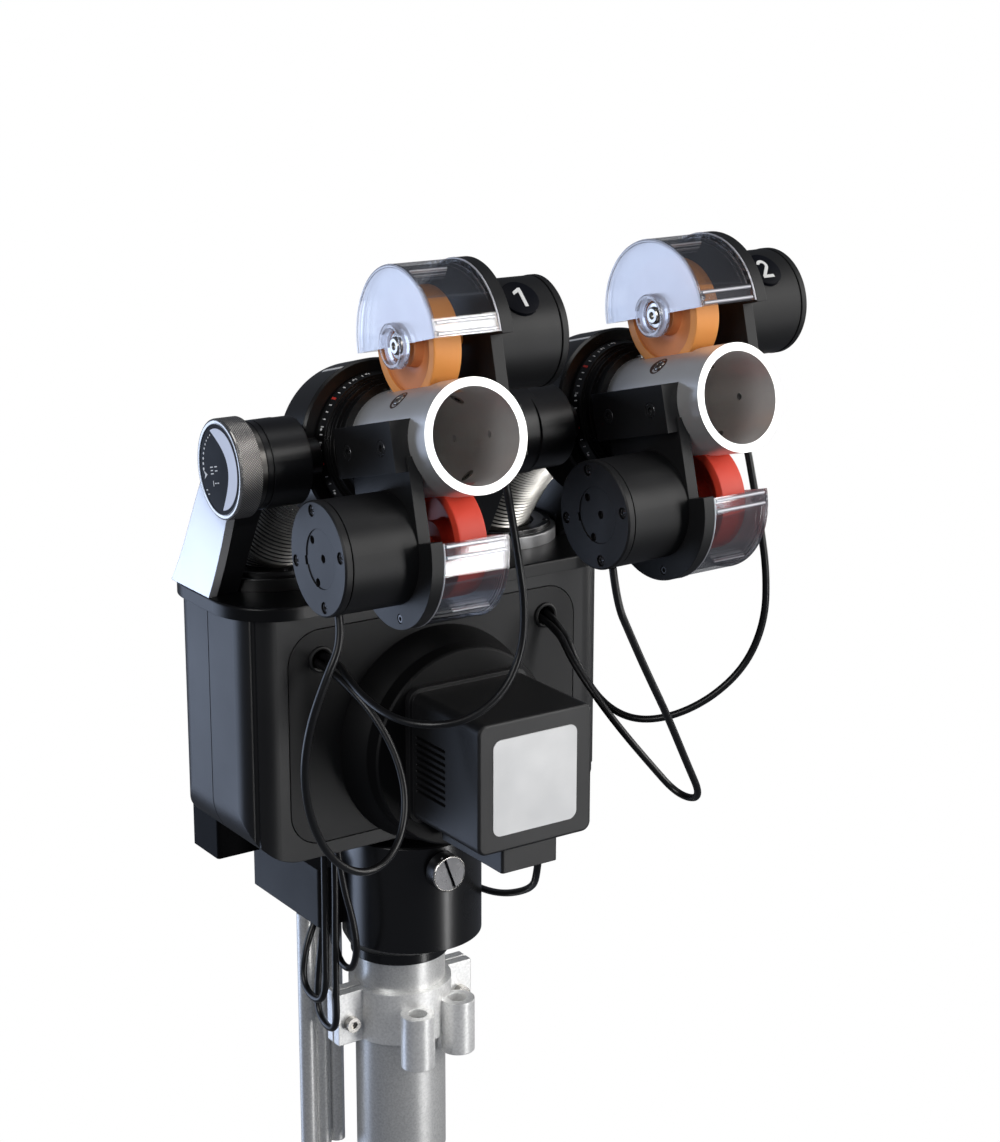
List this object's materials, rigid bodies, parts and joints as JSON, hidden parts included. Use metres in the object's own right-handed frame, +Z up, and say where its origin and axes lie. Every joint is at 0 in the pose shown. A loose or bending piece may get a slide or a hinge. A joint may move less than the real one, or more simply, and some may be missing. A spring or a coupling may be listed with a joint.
{
  "type": "table tennis ball launcher head unit",
  "caption": "Twin-barrel motor-driven table tennis ball launcher on the top section of its stand post, with tilting and rolling heads, a swivelling casing and loose motor cords.",
  "frame": {"origin": "on the stand post's axis, at the lower end of the modelled post section", "axes": "+Z up along the post, -Y the front, the way the balls leave, +X to the right seen from the front"},
  "size_m": [0.3112, 0.2742, 0.522],
  "materials": {
    "satin_black": "satin",
    "gloss_black": "gloss",
    "matte_black": "matte",
    "motor_black": "matte",
    "silver_tube": "satin",
    "barrel_silver": "satin",
    "bright_steel": "polished",
    "screw_steel": "polished",
    "label_silver": "satin",
    "knurled_steel": "polished",
    "bellows_silver": "satin",
    "clear_plastic": "polished",
    "wheel_orange": "matte",
    "wheel_red": "matte",
    "cord_black": "satin"
  },
  "bodies": {
    "stand": {"post": "silver_tube", "collar": "gloss_black", "clamp_front": "silver_tube", "clamp_rear": "silver_tube", "clamp_screws": "screw_steel", "feed_box": "satin_black", "fluted_profile": "silver_tube", "feed_cord_1": "cord_black", "feed_cord_2": "cord_black", "feed_cord_3": "cord_black", "switch_cord": "cord_black"},
    "casing": {"casing_front": "satin_black", "casing_rear": "satin_black", "lid": "gloss_black", "front_panel": "satin_black", "boss": "matte_black", "drive_box": "matte_black", "drive_label": "label_silver", "switch_box": "matte_black", "rear_box": "satin_black", "exit_ring_1": "bright_steel", "exit_ring_2": "bright_steel", "arm_left": "satin_black", "arm_cover_left": "bright_steel", "arm_centre": "satin_black", "arm_right": "satin_black", "arm_cover_right": "bright_steel", "bellows_1": "bellows_silver", "bellows_2": "bellows_silver", "motor_cord_1a": "cord_black", "motor_cord_1b": "cord_black", "motor_cord_2a": "cord_black", "motor_cord_2b": "cord_black"},
    "lock_screw": {"lock_screw": "screw_steel"},
    "ball_rotor": {"ball_rotor": "matte_black"},
    "ring_1": {"ring_1": "satin_black"},
    "tilt_knob_1": {"tilt_knob_1": "knurled_steel"},
    "head_1": {"barrel_1": "barrel_silver", "scale_ring_1": "satin_black", "bracket_1_top": "motor_black", "bracket_1_bottom": "motor_black", "motor_1_top": "motor_black", "motor_1_bottom": "motor_black", "cover_1_top": "clear_plastic", "cover_1_bottom": "clear_plastic"},
    "wheel_1_top": {"wheel_1_top": "wheel_orange"},
    "wheel_1_bottom": {"wheel_1_bottom": "wheel_red"},
    "ring_2": {"ring_2": "satin_black"},
    "tilt_knob_2": {"tilt_knob_2": "knurled_steel"},
    "head_2": {"barrel_2": "barrel_silver", "scale_ring_2": "satin_black", "bracket_2_top": "motor_black", "bracket_2_bottom": "motor_black", "motor_2_top": "motor_black", "motor_2_bottom": "motor_black", "cover_2_top": "clear_plastic", "cover_2_bottom": "clear_plastic"},
    "wheel_2_top": {"wheel_2_top": "wheel_orange"},
    "wheel_2_bottom": {"wheel_2_bottom": "wheel_red"}
  },
  "joints": [
    {"name": "casing_swivel", "type": "hinge", "parent": "stand", "child": "casing", "pos_m": [0, 0, 0.199], "axis": [0, 0, 1], "range_deg": [-20, 20], "deforming": ["feed_cord_1", "feed_cord_2", "feed_cord_3", "switch_cord"]},
    {"name": "lock_screw_turn", "type": "hinge", "parent": "stand", "child": "lock_screw", "pos_m": [-0.005, -0.0516, 0.184], "axis": [0, -1, 0], "range_deg": [-180, 90]},
    {"name": "ball_rotor_spin", "type": "hinge", "parent": "casing", "child": "ball_rotor", "pos_m": [0, 0, 0.256], "axis": [0, -1, 0], "continuous": true},
    {"name": "head_1_tilt", "type": "hinge", "parent": "casing", "child": "ring_1", "pos_m": [-0.0708, -0.104, 0.43], "axis": [0.9992, -0.0401, 0], "range_deg": [-16, 16], "deforming": ["bellows_1", "motor_cord_1a", "motor_cord_1b"]},
    {"name": "tilt_knob_1_turn", "type": "hinge", "parent": "casing", "child": "tilt_knob_1", "pos_m": [-0.14574, -0.10099, 0.43], "axis": [0.9992, -0.0401, 0], "range_deg": [-80, 80]},
    {"name": "head_1_roll", "type": "hinge", "parent": "ring_1", "child": "head_1", "pos_m": [-0.0708, -0.104, 0.43], "axis": [-0.0389, -0.9674, 0.2504], "range_deg": [-15, 50]},
    {"name": "wheel_1_top_spin", "type": "hinge", "parent": "head_1", "child": "wheel_1_top", "pos_m": [-0.0722, -0.13882, 0.48498], "axis": [0.9992, -0.0401, 0], "continuous": true},
    {"name": "wheel_1_bottom_spin", "type": "hinge", "parent": "head_1", "child": "wheel_1_bottom", "pos_m": [-0.07309, -0.16108, 0.39881], "axis": [-0.9992, 0.0401, 0], "continuous": true},
    {"name": "head_2_tilt", "type": "hinge", "parent": "casing", "child": "ring_2", "pos_m": [0.0708, -0.104, 0.43], "axis": [0.9992, 0.0401, 0], "range_deg": [-16, 16], "deforming": ["bellows_2", "motor_cord_2a", "motor_cord_2b"]},
    {"name": "tilt_knob_2_turn", "type": "hinge", "parent": "casing", "child": "tilt_knob_2", "pos_m": [0.14574, -0.10099, 0.43], "axis": [0.9992, 0.0401, 0], "range_deg": [-80, 80]},
    {"name": "head_2_roll", "type": "hinge", "parent": "ring_2", "child": "head_2", "pos_m": [0.0708, -0.104, 0.43], "axis": [0.0389, -0.9674, 0.2504], "range_deg": [-15, 50]},
    {"name": "wheel_2_top_spin", "type": "hinge", "parent": "head_2", "child": "wheel_2_top", "pos_m": [0.0722, -0.13882, 0.48498], "axis": [0.9992, 0.0401, 0], "continuous": true},
    {"name": "wheel_2_bottom_spin", "type": "hinge", "parent": "head_2", "child": "wheel_2_bottom", "pos_m": [0.07309, -0.16108, 0.39881], "axis": [-0.9992, -0.0401, 0], "continuous": true}
  ],
  "couplings": [
    {"joint": "tilt_knob_1_turn", "follows": "head_1_tilt", "ratio": 5},
    {"joint": "tilt_knob_2_turn", "follows": "head_2_tilt", "ratio": 5}
  ]
}
